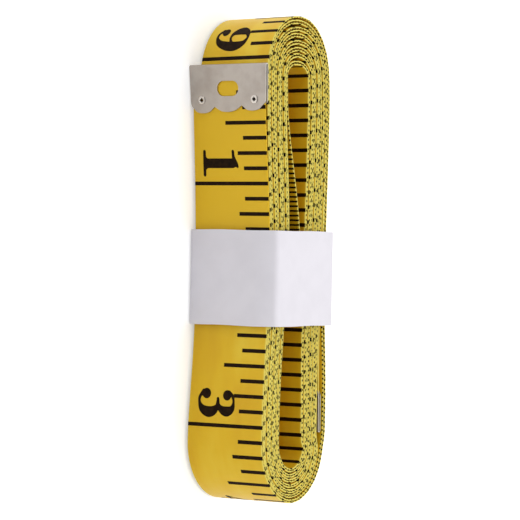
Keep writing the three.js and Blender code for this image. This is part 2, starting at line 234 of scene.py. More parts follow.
@dataclass(frozen=True)
class PlatedSteel:
    """Rolled steel sheet, stamped and nickel plated: a warm grey metal with a satin, lined surface."""

    name: str = "nickel_plated_steel"
    colour: str = "A59D95"
    worn: str = "9A9189"
    # Colour of the faces that look up or down: partly bare sheared metal, partly a painted highlight from the
    # lamp above.
    cut: str = "CFCAC0"
    roughness: float = 0.36
    roll_mm: float = 0.35
    patch_mm: float = 3.0

    def make(self) -> bpy.types.Material:
        """Material with rolling lines, coarse enough to show, patches in its shine, and lighter cut edges:
        partly bare sheared metal, partly a painted highlight.
        """
        material, tree, sockets = new_material(self.name, Metallic=1.0)
        coords = add_node(tree, "TexCoord")
        spot = coords["Object"]
        noise = {"Vector": spot, "Scale": per_metre(self.patch_mm), "Detail": 5.0}
        patches = add_node(tree, "TexNoise", noise)
        tones = [(0.3, self.worn), (0.6, self.colour)]
        tone = add_node(tree, "ValToRGB", {"Fac": patches["Fac"]}, stops=tones)["Color"]
        # The faces that look up or down the tape's width are the cut edges. The share called bare gets a
        # lighter colour, partly bare sheared metal and partly a painted highlight where these faces look up
        # at the lamp above.
        facing = add_node(tree, "SeparateXYZ", {0: coords["Normal"]})["Z"]
        upright = add_node(tree, "Math", {0: facing}, operation="ABSOLUTE")[0]
        bare = add_node(tree, "MapRange", {"Value": upright, "From Min": 0.75, "From Max": 0.95})["Result"]
        mixed = {0: bare, "A": tone, "B": linear(self.cut)}
        add_node(tree, "Mix", mixed, {"Result": sockets["Base Color"]}, data_type="RGBA")
        shine = {"Value": patches["Fac"], "To Min": self.roughness + 0.08, "To Max": self.roughness - 0.06}
        add_node(tree, "MapRange", shine, {"Result": sockets["Roughness"]})
        lines = add_node(tree, "Mapping", {"Vector": spot, "Scale": (0.05, 1.0, 1.0)})[0]
        noise = {"Vector": lines, "Scale": per_metre(self.roll_mm), "Detail": 2.0}
        rolled = add_node(tree, "TexNoise", noise)
        bump = {"Height": rolled["Fac"], "Strength": 0.12, "Distance": 0.02 * MM}
        add_node(tree, "Bump", bump, {"Normal": sockets["Normal"]})
        return material


@dataclass(frozen=True)
class BandPaper:
    """Smooth white wood-free paper: matt, with a faint mottle of fibres."""

    name: str = "white_wood_free_paper"
    light: str = "E7E4EB"
    dull: str = "E3E0E7"
    fibre_mm: float = 0.5
    cloud_mm: float = 6.0

    def make(self) -> bpy.types.Material:
        """Material with a cloudy tone and a fibre bump, drawn coarser than real fibres so that it shows."""
        material, tree, sockets = new_material(self.name, IOR=1.45, Roughness=0.85)
        spot = add_node(tree, "TexCoord")["Object"]
        clouds, fibres = (
            add_node(tree, "TexNoise", {"Vector": spot, "Scale": per_metre(size), "Detail": 6.0})["Fac"]
            for size in (self.cloud_mm, self.fibre_mm)
        )
        tones = [(0.35, self.dull), (0.6, self.light)]
        add_node(tree, "ValToRGB", {"Fac": clouds}, {"Color": sockets["Base Color"]}, tones)
        bump = {"Height": fibres, "Strength": 0.1, "Distance": 0.03 * MM}
        add_node(tree, "Bump", bump, {"Normal": sockets["Normal"]})
        return material


@dataclass(frozen=True)
class StudioFloor:
    """Matt white studio sweep that shows white to the camera and keeps a soft shadow."""

    name: str = "white_studio_floor"
    colour: str = "F2F2F2"
    glow: float = 0.42

    def make(self) -> bpy.types.Material:
        """Diffuse white, lifted to white for what the camera and reflections see."""
        material, tree, _ = new_material(self.name, Base_Color=linear(self.colour), Roughness=0.9)
        path = add_node(tree, "LightPath")
        seen = path["Is Camera Ray"]
        for ray in ("Is Glossy Ray", "Is Transmission Ray"):
            seen = add_node(tree, "Math", {0: seen, 1: path[ray]}, operation="MAXIMUM")[0]
        glow = add_node(tree, "Math", {0: seen, 1: self.glow}, operation="MULTIPLY")[0]
        light = add_node(tree, "Emission", {"Strength": glow})[0]
        white, shown = tree.nodes[SHADER].outputs[0], tree.nodes["Material Output"].inputs["Surface"]
        add_node(tree, "AddShader", {0: white, 1: light}, {"Shader": shown})
        return material


def linked(name: str, data: Any) -> bpy.types.Object:
    """New object of some data, in the scene."""
    made = bpy.data.objects.new(name, data)
    bpy.context.scene.collection.objects.link(made)
    return made


@dataclass
class Surface:
    """Points in metres with the faces between them."""

    points: np.ndarray
    faces: list[np.ndarray]

    @staticmethod
    def joined(parts: list["Surface"]) -> "Surface":
        """One surface of several."""
        starts = np.cumsum([0] + [len(p.points) for p in parts])
        faces = [f + start for p, start in zip(parts, starts) for f in p.faces]
        return Surface(np.concatenate([p.points for p in parts]), faces)

    def volume(self) -> float:
        """Enclosed volume, negative when the faces point inwards: the sum of the fans' tetrahedra."""
        total = 0.0
        for group in self.faces:
            p = self.points[group]
            cross = np.cross(p[:, 1:-1] - p[:, :1], p[:, 2:] - p[:, :1])
            total += float((cross * p[:, :1]).sum() / 6)
        return total

    def outward(self) -> "Surface":
        """The same surface with its faces pointing out."""
        if self.volume() < 0:
            return Surface(self.points, [f[:, ::-1] for f in self.faces])
        return self

    def make(self, name: str, material: bpy.types.Material, smooth: bool = True) -> bpy.types.Object:
        """Object at the origin with this surface as its mesh.

        Args:
            name: Name of the piece.
            material: Its finish.
            smooth: Whether its faces are shaded as one skin.

        Returns:
            The linked object.
        """
        mesh = bpy.data.meshes.new(name)
        faces = [row for group in self.faces for row in group.tolist()]
        mesh.from_pydata(self.points.tolist(), [], faces)
        mesh.polygons.foreach_set("use_smooth", np.full(len(faces), smooth))
        mesh.materials.append(material)
        mesh.validate()
        return linked(name, mesh)


def tube_faces(rings: int, corners: int, closed_path: bool = False) -> list[np.ndarray]:
    """Faces of rings of corners carried along a path: four-sided between rings, with a cap on each end.

    Args:
        rings: Number of rings.
        corners: Corners in each ring.
        closed_path: Whether the last ring joins the first, without caps.

    Returns:
        Groups of faces with equal numbers of corners.
    """
    i = np.arange(rings if closed_path else rings - 1)[:, None]
    j = np.arange(corners)[None, :]
    after, beside = (i + 1) % rings, (j + 1) % corners
    here, there = i * corners, after * corners
    quads = np.stack([here + j, here + beside, there + beside, there + j], -1)
    ends = np.array([np.arange(corners)[::-1], (rings - 1) * corners + np.arange(corners)])
    return [quads.reshape(-1, 4)] + ([] if closed_path else [ends])


def smooth_step(value: np.ndarray, low: float, high: float) -> np.ndarray:
    """0 below low, 1 above high, and an even S between."""
    t = np.clip((value - low) / (high - low), 0, 1)
    return t * t * (3 - 2 * t)


def signed_power(base: np.ndarray, exponent: float) -> np.ndarray:
    """Power of a number that keeps its sign."""
    return np.sign(base) * np.abs(base) ** exponent


def bell(value: np.ndarray, middle: float, reach: float) -> np.ndarray:
    """Bell curve: the exponential of minus the squared distance from the middle, counted in reaches."""
    return np.exp(-(((value - middle) / reach) ** 2))


def sines(distance: np.ndarray, *waves: tuple[float, float, float]) -> np.ndarray:
    """Sum of sines, each given by its height, length and phase."""
    return sum(height * np.sin(2 * np.pi * distance / length + phase) for height, length, phase in waves)


def unit(rows: np.ndarray) -> np.ndarray:
    """Rows divided by their lengths."""
    return rows / np.linalg.norm(rows, axis=1, keepdims=True)


def distances(line: np.ndarray) -> np.ndarray:
    """Distance along a line at each of its points."""
    return np.concatenate([[0.0], np.cumsum(np.hypot(*np.diff(line, axis=0).T))])


@dataclass
class Settling:
    """How the tape leans: its upper edges press back under the band, and forward at the coil's upper end.

    At the lower end its feet come forward.
    """

    lean: float = 0.45
    everywhere: float = -0.25
    centre_x: float = -2.0
    reach: float = 18.0
    twist: float = 1.0
    twist_span: tuple[float, float] = (14.0, 52.0)
    flare: float = 1.0
    flare_x: float = 40.0
    flare_reach: float = 15.0
    middle_z: float = 10.05
    half_width: float = 9.5

    def apply(self, points: np.ndarray, wound: Any = 0.0) -> np.ndarray:
        """Points shifted along Y: by the lean at their X times their height, and at their feet by the flare.

        Args:
            points: Places in millimetres, one row each.
            wound: How far each point belongs to the wound coil, which alone twists, from 0 to 1.

        Returns:
            The shifted places.
        """
        x = points[:, 0]
        height = (points[:, 2] - self.middle_z) / self.half_width
        twist = self.twist * wound * smooth_step(-x, *self.twist_span)
        lean = self.lean * bell(x, self.centre_x, self.reach) + self.everywhere - twist
        flare = self.flare * bell(x, self.flare_x, self.flare_reach)
        moved = points.copy()
        moved[:, 1] += lean * height - flare * (1 - height) / 2
        return moved


@dataclass
class Winding:
    """Route of the doubled tape: two halves wound side by side from a hairpin in the eye of the coil."""

    front_pitch: float = 0.455
    loose_front_pitch: float = 0.515
    loose_span: tuple[float, float] = (-15.0, 25.0)
    rear_pitch: float = 0.56
    # The inner half lies this share of a pitch under the outer one, so that the layers go in pairs.
    pair: float = 0.88
    single_laps: float = 1.5
    step_turns: float = 0.02
    step_place: float = 0.006
    laps: int = 8
    straight: float = 38.4
    straight_share: float = 0.33
    hairpin_x: float = 9.85
    hairpin_radius: float = 2.43
    hairpin_leg: float = 42.0
    half_thickness: float = 11.387
    hairpin_swing: float = 1.25
    waist_x: float = 3.7
    # Waists: how far the band draws the coil in, and how far from its middle.
    front_waist: tuple[float, float] = (1.15, 34.0)
    rear_waist: tuple[float, float] = (0.75, 30.0)
    # Bulge: its height, place and reach.
    rear_bulge: tuple[float, float, float] = (1.0, -36.0, 13.0)
    outer_room: float = 0.3
    outer_laps: tuple[float, float] = (0.4, 1.5)
    # Ends: how far the innermost layer reaches, the pitch, and the fullness of the round.
    upper_end: tuple[float, float, float] = (3.5, 0.71, 2.12)
    lower_end: tuple[float, float, float] = (5.0, 0.545, 1.96)
    # Unevenness: its height, on the lower and upper end apart, and how fast it changes.
    straight_waver: tuple[float, float, float] = (0.02, 7.4, 7.0)
    end_waver: tuple[float, float, float, float] = (0.045, 0.085, 10.2, 1.7)
    # Room round the inner clip, outwards and inwards.
    clip_room: tuple[float, float] = (1.25, 1.0)
    clip_fade: tuple[float, float] = (5.0, 24.0)
    clip_span: tuple[float, float] = (26.55, 36.0)
    rise: float = 0.87
    tip_x: float = -40.4
    clip_end_x: float = -30.95
    hinge_x: float = -7.3
    scale_start: float = 0.93
    seam_inches: float = 2.0
    # Points on a straight, on an end and in the hairpin, then in a clip and on the free end.
    steps: tuple[int, int, int] = (40, 28, 24)
    clip_steps: int = 14
    free_steps: int = 48
    least_turn: float = 1e-3
    line: np.ndarray = field(init=False, repr=False)
    along: np.ndarray = field(init=False, repr=False)

    def __post_init__(self) -> None:
        """Works out the centre line and the distance along it from the scale's start."""
        self.turn_per_mm = self.straight_share / (2 * self.straight)
        self.hairpin_turn = self.front_turn(self.laps, self.hairpin_x)
        self.full_layers = float(self.layers(np.array(self.hairpin_turn)))
        self.clip_turns = (self.rear_turn(1, self.clip_span[1]), self.rear_turn(1, self.clip_span[0]))
        self.line = self.centre_line()
        self.along = self.scale_start + distances(self.line)
        self.hairpin_along = float(self.along[self.hairpin_stop])

    def front_turn(self, lap: float, x: Any) -> Any:
        """Turn count at a place on the coil's front."""
        return lap + self.turn_per_mm * (x + self.straight)

    def rear_turn(self, lap: float, x: Any) -> Any:
        """Turn count at a place on the coil's rear."""
        return lap + 0.5 + self.turn_per_mm * (self.straight - x)

    def layers(self, turn: np.ndarray) -> np.ndarray:
        """Layers above the outer half: one a lap, and one more at each step over the inner half."""
        past = np.asarray(turn, float) - self.single_laps - self.step_place
        whole = np.maximum(0, np.floor(past))
        step = smooth_step(past - np.floor(past), 1 - self.step_turns, 1.0)
        return turn + whole + np.where(past > 0, step, 0)

    def waisted(self, x: np.ndarray, pinch: float, reach: float) -> np.ndarray:
        """Half the coil's thickness, drawn in by a squared cosine where the band sits."""
        share = np.minimum(1, np.abs(x - self.waist_x) / reach)
        return self.half_thickness - pinch * np.cos(share * np.pi / 2) ** 2

    def front_y(self, x: np.ndarray, layers: np.ndarray) -> np.ndarray:
        """Y of a layer on the front: the waisted outline less the layers above, looser at the upper end."""
        loose = 1 - smooth_step(x, *self.loose_span)
        pitch = self.front_pitch + (self.loose_front_pitch - self.front_pitch) * loose
        return pitch * layers - self.waisted(x, *self.front_waist)

    def rear_y(self, x: np.ndarray, layers: np.ndarray) -> np.ndarray:
        """Y of a layer on the rear, with a bell curve's bulge at the upper end and looser outer laps."""
        amount, place, reach = self.rear_bulge
        room = self.outer_room * (smooth_step(layers, *self.outer_laps) - layers / self.full_layers)
        bulge = amount * bell(x, place, reach)
        return self.waisted(x, *self.rear_waist) + bulge - self.rear_pitch * layers - room

    def parting(self, turn: np.ndarray, layers: np.ndarray) -> np.ndarray:
        """Extra depth where the layers part round the inner clip, faded by a squared cosine."""
        start, stop = self.clip_turns
        middle, flat = (start + stop) / 2, (stop - start) / 2
        away = turn - middle - np.round(turn - middle)
        reach = self.turn_per_mm * np.where(away < 0, *self.clip_fade)
        fade = np.clip((np.abs(away) - flat) / reach, 0, 1)
        side = np.clip(layers - self.layers(np.array(start)) - 1, -1, 1)
        room = np.where(side < 0, *self.clip_room) - self.rear_pitch
        return room * side * np.cos(fade * np.pi / 2) ** 2

    def unevenness(self, half: np.ndarray, turn: np.ndarray, lower: np.ndarray) -> np.ndarray:
        """Small changes of depth from lap to lap: waves that vanish where straights meet ends."""
        share = self.straight_share
        height, per_turn, per_half = self.straight_waver
        straight = height * np.sin(np.pi * half / share) * np.sin(per_turn * turn + per_half * half)
        low, up, per_turn, per_angle = self.end_waver
        angle = np.pi * (half - share) / (0.5 - share)
        swing = np.where(lower, low, up) * np.sin(np.clip(angle, 0, np.pi))
        return np.where(half <= share, straight, swing * np.sin(per_turn * turn + per_angle * angle))

    def wound(self, turn: np.ndarray, layers: np.ndarray, further: Any = 0.0) -> np.ndarray:
        """Points of the winding: straights at the coil's thickness less the depth, joined by rounded ends.

        An end is half of an ellipse whose sine and cosine are raised to a power, which sets its fullness.

        Args:
            turn: Turn counts from the outside.
            layers: Layers above each point.
            further: Extra depth.

        Returns:
            X and Y of each point.
        """
        share = turn - np.floor(turn)
        half, lower = np.mod(share, 0.5), share < 0.5
        side = np.where(lower, 1.0, -1.0)
        depth = further + self.parting(turn, layers) + self.unevenness(half, turn, lower)
        x = side * (half / self.turn_per_mm - self.straight)
        end = side * self.straight
        front = [self.front_y(at, layers) + depth for at in (x, end)]
        rear = [self.rear_y(at, layers) - depth for at in (x, end)]
        reach, pitch, fullness = (
            np.where(lower, low, up) for low, up in zip(self.lower_end, self.upper_end)
        )
        reach = reach + pitch * (self.full_layers - layers) - depth
        angle = np.pi * np.clip(half - self.straight_share, 0, None) / (0.5 - self.straight_share)
        end_x = end + side * reach * signed_power(np.sin(angle), 2 / fullness)
        middle, height = (front[1] + rear[1]) / 2, (rear[1] - front[1]) / 2
        end_y = middle - side * height * signed_power(np.cos(angle), 2 / fullness)
        flat = half <= self.straight_share
        straight_y = np.where(lower, front[0], rear[0])
        return np.stack([np.where(flat, x, end_x), np.where(flat, straight_y, end_y)], -1)

    def outer(self, turn: np.ndarray) -> np.ndarray:
        """Points of the outer half."""
        return self.wound(turn, self.layers(turn))

    def inner(self, turn: np.ndarray) -> np.ndarray:
        """Points of the inner half, close under the outer one, swinging out to the hairpin at its end."""
        start = self.hairpin_turn - self.turn_per_mm * self.hairpin_leg
        share = np.clip((turn - start) / (self.hairpin_turn - start), 0, 1)
        swing = np.sin(share * np.pi / 2) ** self.hairpin_swing
        reach = 2 * self.hairpin_radius - self.pair * self.front_pitch
        return self.wound(turn, self.layers(turn) + self.pair, swing * reach)

    def stops(self, start: float, stop: float) -> np.ndarray:
        """Turn counts between two, with more of them on the ends than on the straights."""
        flat, bent, _ = self.steps
        share = self.straight_share
        one = np.concatenate([np.arange(flat) / flat * share, share + np.arange(bent) / bent * (0.5 - share)])
        halves = np.arange(math.floor(2 * start), math.ceil(2 * stop) + 1) / 2
        turns = (halves[:, None] + one[None, :]).ravel()
        inside = (turns > start + self.least_turn) & (turns < stop - self.least_turn)
        return np.concatenate([[start], turns[inside], [stop]])

    def free_end(self) -> np.ndarray:
        """Points from the tip to beside the band: straight in the clip, then falling by a square law."""
        span = self.hinge_x - self.clip_end_x
        x = np.linspace(self.clip_end_x, self.hinge_x, self.free_steps)
        points = self.outer(self.front_turn(0, x))
        points[:, 1] -= self.rise * ((self.hinge_x - x) / span) ** 2
        slope = 2 * self.rise / span
        back = np.linspace(self.tip_x - self.clip_end_x, 0, self.clip_steps)[:-1]
        straight = points[0] + np.stack([back, slope * back], -1)
        return np.concatenate([straight, points])

    def centre_line(self) -> np.ndarray:
        """The whole route, from the outer tip to the inner one."""
        inward = self.outer(self.stops(self.front_turn(0, self.hinge_x), self.hairpin_turn))[1:]
        angle = np.pi * (np.arange(1, self.steps[2]) / self.steps[2] - 0.5)
        middle = inward[-1] + [0, self.hairpin_radius]
        bend = middle + self.hairpin_radius * np.stack([np.cos(angle), np.sin(angle)], -1)
        outward = self.inner(self.stops(self.clip_turns[1], self.hairpin_turn)[::-1])
        free = self.free_end()
        self.hairpin_stop = len(free) + len(inward) + len(bend) // 2
        last = self.inner(np.linspace(self.clip_turns[1], self.clip_turns[0], self.clip_steps))[1:]
        return np.concatenate([free, inward, bend, outward, last])


@dataclass
class Tape:
    """The printed cloth: a ribbon with rounded cut edges along the winding."""

    winding: Winding
    settling: Settling
    low: float = 0.55
    width: float = 19.0
    thickness: float = 0.38
    clip_thickness: float = 0.3
    clip_taper: float = 2.0
    edge_round: float = 0.19
    edge_tint: float = 0.3
    hold: float = 0.3
    least_step: float = 0.05
    other_side: float = 20.0
    wound_from: tuple[float, float] = (60.0, 110.0)
    level_start: tuple[float, float] = (12.0, 560.0)
    level_end: tuple[float, float] = (40.0, 12.0)
    inner_drop: float = 0.4
    # The longest wave is about two laps long, so that one lap goes up and the next one down.
    wave_lengths: tuple[float, ...] = (378.0, 97.0, 61.0, 29.0)
    wave_heights: tuple[float, ...] = (0.11, 0.05, 0.035, 0.015)
    seed: int = 7

    def __post_init__(self) -> None:
        """Draws the seeded phases of the waves that lift each stretch of the tape a little."""
        self.wave_phases = np.random.default_rng(self.seed).uniform(0, 2 * np.pi, len(self.wave_lengths))

    @property
    def length(self) -> float:
        """Distance along the scale at the inner tip."""
        return float(self.winding.along[-1])

    @property
    def seam(self) -> float:
        """Distance along the scale at which the free end's piece meets the coil's, under an inch line."""
        return INCH * self.winding.seam_inches

    def half_thickness(self, along: np.ndarray) -> np.ndarray:
        """Half the cloth's thickness, pinched inside both clips."""
        clip = self.winding.clip_end_x - self.winding.tip_x + self.winding.scale_start
        outer = 1 - smooth_step(along, clip, clip + self.clip_taper)
        inner = smooth_step(along, self.length - clip - self.clip_taper, self.length - clip)
        return (self.thickness + (self.clip_thickness - self.thickness) * np.maximum(outer, inner)) / 2

    def lift(self, along: np.ndarray) -> np.ndarray:
        """Height of the tape's edge against its plain place: a sum of sines, level at both ends.

        Both halves were wound together, so the sines run from the hairpin. The inner end has slipped down.
        """
        away = np.abs(along - self.winding.hairpin_along)
        waves = sines(away, *zip(self.wave_heights, self.wave_lengths, self.wave_phases))
        far, near = self.level_end
        at_end = smooth_step(along, self.length - far, self.length - near)
        return smooth_step(along, *self.level_start) * (1 - at_end) * waves - self.inner_drop * at_end

    def place(self, along: np.ndarray, across: np.ndarray, out: np.ndarray) -> np.ndarray:
        """Places in metres of points given on the tape: centre line plus its sideways normal times out.

        Args:
            along: Distance along the scale.
            across: Height above the tape's lower edge.
            out: Distance from the middle of the cloth, positive on the inch side.

        Returns:
            One row of X, Y and Z for each point.
        """
        along, across, out = (np.ravel(v) for v in np.broadcast_arrays(along, across, out))
        line, stops = self.winding.line, self.winding.along
        slopes = np.gradient(line, stops, axis=0)
        at = np.stack([np.interp(along, stops, line[:, k]) for k in (0, 1)], -1)
        tangent = np.stack([np.interp(along, stops, slopes[:, k]) for k in (0, 1)], -1)
        tangent = unit(tangent)
        right = np.stack([tangent[:, 1], -tangent[:, 0]], -1)
        flat = at + right * out[:, None]
        points = np.column_stack([flat, self.low + across + self.lift(along)])
        return self.settling.apply(points, smooth_step(along, *self.wound_from)) * MM

    def profile(self) -> tuple[np.ndarray, np.ndarray, np.ndarray]:
        """Section of the cloth: two faces and two rounded cut edges.

        Returns:
            Out in half thicknesses, height above the lower edge, and how near the cut edge each corner is.
        """
        r, h, w = self.edge_round, self.hold, self.width
        face = np.array([r, r + h, w / 3, 2 * w / 3, w - r - h, w - r])
        turn = np.radians([45, 90, 135])
        rim = w - r + r * np.sin(turn)
        flat, tint = np.ones(len(face)), [self.edge_tint, 0, 0, 0, 0, self.edge_tint]
        out = np.concatenate([flat, np.cos(turn), -flat, -np.cos(turn)])
        up = np.concatenate([face, rim, face[::-1], w - rim])
        edge = np.tile(np.concatenate([tint, np.ones(len(turn))]), 2)
        return out, up, edge

    def ribbon(self, name: str, start: float, stop: float, material: bpy.types.Material) -> bpy.types.Object:
        """Stretch of the tape as a closed ribbon: its section carried along the route.

        Args:
            name: Name of the piece.
            start: Where it starts along the scale.
            stop: Where it ends.
            material: Its finish.

        Returns:
            The object, with each corner's place on the cloth as an attribute.
        """
        stops = self.winding.along
        between = (stops > start + self.least_step) & (stops < stop - self.least_step)
        along = np.concatenate([[start], stops[between], [stop]])
        out, up, edge = self.profile()
        points = self.place(along[:, None], up[None, :], out[None, :] * self.half_thickness(along)[:, None])
        made = Surface(points, tube_faces(len(along), len(out))).outward().make(name, material)
        # The other face counts on from further across, so that its patches are others.
        across = up + self.other_side * (out < 0)
        cloth = np.stack(np.broadcast_arrays(along[:, None], across[None, :], edge[None, :]), -1)
        attribute = made.data.attributes.new(PLACE, "FLOAT_VECTOR", "POINT")
        attribute.data.foreach_set("vector", cloth.astype(np.float32).ravel())
        return made


# End of the lower bowl that a three and a five share.
BOWL_END: Stroke = [(4.4, 1.15, 0.75), (3.2, 0.3, 0.3), (1.9, 0.26, 0.26), (0.6, 1.2, 0.35)]
# Strokes of each digit: X, Y and half width in millimetres at points of a smooth line, on a digit 9 mm high.
STROKES: dict[str, list[Stroke]] = {
    "0": [
        [(3, 9.0, 0.2), (1.75, 8.2, 0.55), (1.1, 6.2, 1.0),
         (1.1, 2.9, 1.0), (1.75, 0.95, 0.55), (3, 0.2, 0.2)],
    ],
    "1": [
        [(2.85, 0.9, 0.93), (2.85, 4.5, 0.93), (2.85, 7.6, 0.93)],
        [(3.62, 8.9, 0.15), (3.0, 8.4, 0.46), (2.3, 8.05, 0.42), (1.3, 7.8, 0.26), (0.35, 7.72, 0.24)],
        [(0.35, 0.26, 0.26), (2.8, 0.26, 0.28), (5.3, 0.26, 0.26)],
        [(1.7, 0.4, 0.2), (2.3, 0.75, 0.4), (3.4, 0.75, 0.4), (4.0, 0.4, 0.2)],
    ],
    "2": [
        [(1.35, 6.95, 0.98), (1.3, 7.0, 0.95)],
        [(0.65, 7.5, 0.3), (1.4, 8.6, 0.26), (2.8, 9.0, 0.24), (4.2, 8.5, 0.65), (4.7, 7.1, 1.0),
         (4.1, 5.5, 0.72), (2.6, 3.8, 0.34), (1.2, 2.3, 0.26), (0.65, 1.0, 0.3)],
        [(0.7, 0.95, 0.35), (1.8, 1.35, 0.5), (3.2, 0.95, 0.7), (4.5, 0.65, 0.6),
         (5.3, 1.2, 0.32), (5.6, 2.3, 0.2)],
    ],
    "3": [
        [(1.35, 7.3, 0.98), (1.3, 7.35, 0.95)],
        [(0.68, 7.8, 0.3), (1.5, 8.72, 0.27), (2.9, 9.02, 0.22), (4.2, 8.55, 0.62), (4.72, 7.3, 0.98),
         (4.3, 5.95, 0.66), (3.4, 5.2, 0.32), (2.1, 4.98, 0.26)],
        [(2.6, 4.98, 0.26), (3.7, 4.8, 0.4), (4.6, 4.0, 0.85), (4.95, 2.7, 1.05), *BOWL_END],
        [(1.08, 1.95, 1.0), (1.1, 2.0, 1.0)],
    ],
    "4": [
        [(4.0, 0.9, 0.92), (4.0, 4.5, 0.92), (4.0, 7.9, 0.92)],
        [(4.5, 8.75, 0.3), (2.5, 5.8, 0.26), (0.45, 2.75, 0.26)],
        [(0.4, 2.55, 0.25), (3.0, 2.55, 0.25), (5.9, 2.55, 0.25)],
        [(2.2, 0.24, 0.24), (4.0, 0.24, 0.26), (5.9, 0.24, 0.24)],
    ],
    "5": [
        [(1.45, 8.3, 0.5), (2.6, 8.15, 0.62), (3.9, 8.25, 0.6), (5.1, 8.85, 0.16)],
        [(1.25, 8.6, 0.24), (1.2, 6.8, 0.22), (1.15, 5.0, 0.24)],
        [(1.2, 4.95, 0.22), (2.2, 5.6, 0.3), (3.6, 5.55, 0.45), (4.8, 4.4, 0.9), (4.95, 2.8, 1.05),
         *BOWL_END],
        [(1.08, 1.95, 0.95), (1.1, 2.0, 0.95)],
    ],
    "6": [
        [(3.1, 0.2, 0.2), (1.75, 1.0, 0.55), (1.05, 3.0, 1.0), (1.15, 5.4, 0.98), (1.9, 7.8, 0.65),
         (3.2, 8.95, 0.26), (4.4, 8.85, 0.26), (5.3, 8.0, 0.3)],
        [(4.75, 7.15, 0.9), (4.8, 7.1, 0.9)],
        [(3.1, 0.2, 0.2), (4.4, 0.8, 0.55), (5.0, 2.2, 0.98), (5.0, 3.2, 0.98), (4.4, 4.6, 0.5),
         (3.3, 5.1, 0.24), (2.2, 4.7, 0.26), (1.7, 4.0, 0.3)],
    ],
    "7": [
        [(0.5, 8.85, 0.18), (0.55, 7.8, 0.2), (0.5, 6.6, 0.18)],
        [(0.7, 7.9, 0.35), (1.8, 8.3, 0.6), (3.2, 8.05, 0.66), (4.6, 8.2, 0.5), (5.5, 8.85, 0.18)],
        [(5.35, 8.6, 0.3), (4.3, 6.6, 0.36), (3.3, 4.6, 0.6), (2.8, 2.6, 0.95), (2.75, 1.05, 1.05)],
    ],
    "8": [
        [(3, 9.0, 0.22), (4.2, 8.5, 0.5), (4.55, 7.1, 0.78), (4.0, 5.7, 0.5), (3, 4.95, 0.35)],
        [(3, 9.0, 0.22), (1.8, 8.5, 0.5), (1.45, 7.1, 0.82), (2.0, 5.7, 0.6), (3.2, 4.85, 0.45)],
        [(3, 4.95, 0.35), (4.3, 4.1, 0.6), (4.9, 2.5, 0.98), (4.4, 0.9, 0.55), (3, 0.2, 0.22)],
        [(3, 4.95, 0.35), (1.7, 4.1, 0.55), (1.1, 2.5, 0.95), (1.6, 0.9, 0.55), (3, 0.2, 0.22)],
    ],
}
# The right half of a nought mirrors its left half, and a nine is a six turned by half a turn.
STROKES["0"].append([(round(6 - x, 2), y, w) for x, y, w in STROKES["0"][0]])
STROKES["9"] = [[(round(6 - x, 2), round(9.2 - y, 2), w) for x, y, w in stroke] for stroke in STROKES["6"]]


@dataclass
class DigitForm:
    """Outline of one digit: everything within the half width of its strokes, and a little spread of ink."""

    digit: str
    size: float = 1.0
    bold: float = 0.09
    cell: float = 0.25
    # Lowest X and Y, highest X and highest Y of the grid.
    grid: tuple[float, float, float] = (-0.4, 6.61, 9.61)
    stroke_points: int = 60
    plain_width: float = 6.0
    one_width: float = 5.4

    @property
    def width(self) -> float:
        """Width with a little air beside it."""
        return (self.one_width if self.digit == "1" else self.plain_width) * self.size

    def smooth_line(self, stroke: Stroke) -> np.ndarray:
        """Cubic through the stroke's points: each span from its two points and the slopes at them."""
        p = np.array(stroke, float)
        slope = np.gradient(p, axis=0)
        t = np.linspace(0, len(p) - 1, self.stroke_points)
        i = np.minimum(t.astype(int), len(p) - 2)
        u = (t - i)[:, None]
        a, b, m, n = p[i], p[i + 1], slope[i], slope[i + 1]
        start = (1 + 2 * u) * (1 - u) ** 2 * a + u * (1 - u) ** 2 * m
        return start + u * u * (3 - 2 * u) * b + u * u * (u - 1) * n

    def flat(self) -> tuple[np.ndarray, np.ndarray]:
        """Triangles of the part of a grid inside the outline, cut at the outline along its cells' sides.

        Returns:
            Points in X and Y, and triangles.
        """
        low, right, top = self.grid
        xs, ys = np.arange(low, right, self.cell), np.arange(low, top, self.cell)
        grid = np.stack(np.meshgrid(xs, ys), -1).reshape(-1, 2)
        strokes = np.concatenate([self.smooth_line(s) for s in STROKES[self.digit]])
        away = np.linalg.norm(grid[:, None, :] - strokes[None, :, :2], axis=2)
        value = (away - strokes[None, :, 2] - self.bold).min(axis=1)
        index = np.arange(len(grid)).reshape(len(ys), len(xs))
        a, b, c, d = index[:-1, :-1], index[:-1, 1:], index[1:, 1:], index[1:, :-1]
        cells = np.concatenate([np.stack(three, -1).reshape(-1, 3) for three in ((a, b, c), (a, c, d))])
        inside = value[cells] < 0
        kept = [grid[cells[inside.all(axis=1)]]]
        for lone in (True, False):
            pick = inside.sum(axis=1) == (1 if lone else 2)
            first = np.argmax(inside[pick] == lone, axis=1)
            tri = np.take_along_axis(cells[pick], (first[:, None] + np.arange(3)) % 3, axis=1)
            p, v = grid[tri], value[tri][..., None]
            cut = p[:, :1] + (p[:, 1:] - p[:, :1]) * v[:, :1] / (v[:, :1] - v[:, 1:])
            if lone:
                kept.append(np.stack([p[:, 0], cut[:, 0], cut[:, 1]], 1))
            else:
                kept.append(np.stack([cut[:, 0], p[:, 1], p[:, 2]], 1))
                kept.append(np.stack([cut[:, 0], p[:, 2], cut[:, 1]], 1))
        corners = np.concatenate(kept).reshape(-1, 2)
        points, index = np.unique(np.round(corners, 3), axis=0, return_inverse=True)
        tris = index.reshape(-1, 3)
        whole = (tris[:, 0] != tris[:, 1]) & (tris[:, 1] != tris[:, 2]) & (tris[:, 2] != tris[:, 0])
        return points * self.size, tris[whole]


@dataclass(frozen=True)
class Mark:
    """A printed line: its width along the tape, the degrees that it wraps the edge, and its places along."""

    line: float
    wrap: float
    places: int


